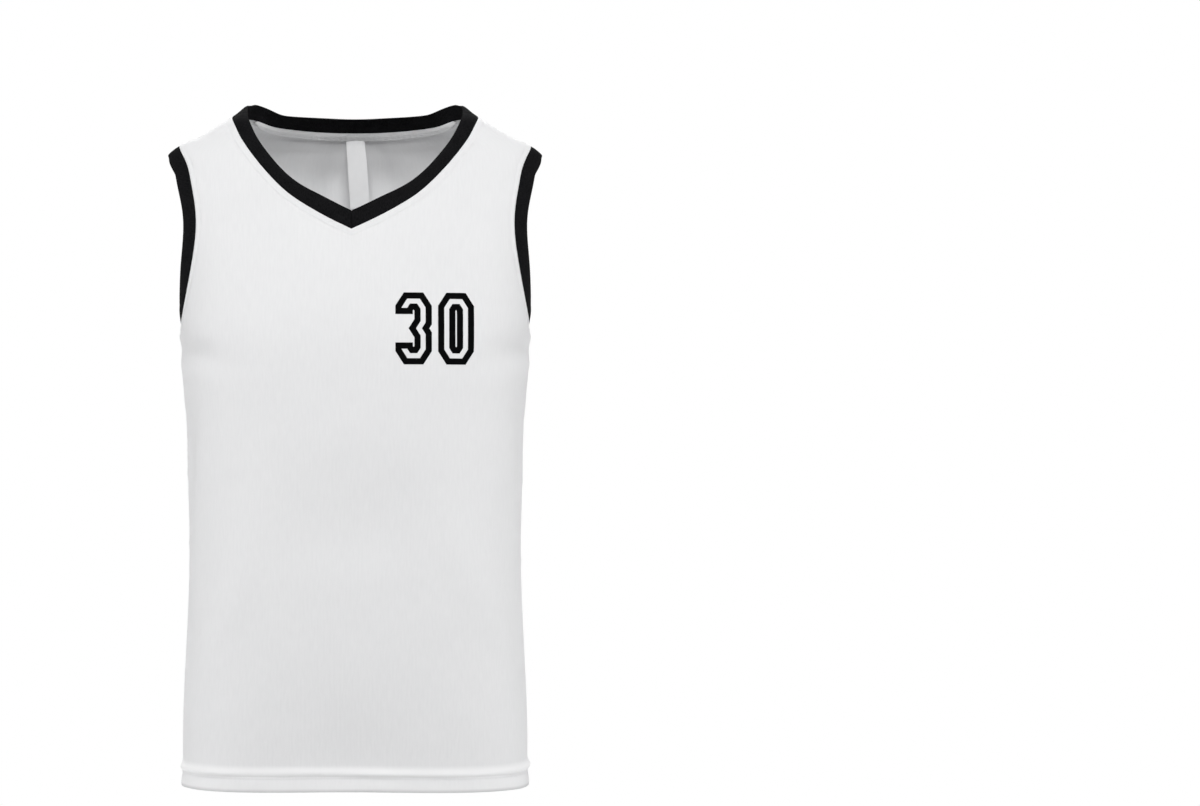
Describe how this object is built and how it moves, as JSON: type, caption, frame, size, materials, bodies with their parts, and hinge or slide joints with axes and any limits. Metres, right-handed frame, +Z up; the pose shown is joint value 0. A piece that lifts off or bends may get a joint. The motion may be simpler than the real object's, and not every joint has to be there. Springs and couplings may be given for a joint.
{
  "type": "basketball jersey",
  "caption": "Sleeveless V-neck basketball jersey filled out as worn, in white knit with contrasting ribbed bands at the neck and armholes, open at the neck, armholes and hem.",
  "frame": {"origin": "midway between the wearer's shoulders, at the height where the straps rest, 697 mm above the hem", "axes": "+Z up, the front of the jersey faces -Y, +X to the wearer's left"},
  "size_m": [0.4002, 0.2565, 0.7293],
  "materials": {
    "white_knit": "soft matt polyester knit",
    "black_rib": "matt ribbed knit",
    "white_tape": "matt knit tape",
    "woven_label": "satin weave"
  },
  "bodies": {
    "root": {"front_panel": "white_knit", "back_panel": "white_knit", "neckband": "black_rib", "armband_left": "black_rib", "armband_right": "black_rib", "neck_tape": "white_tape", "label": "woven_label"}
  },
  "joints": []
}
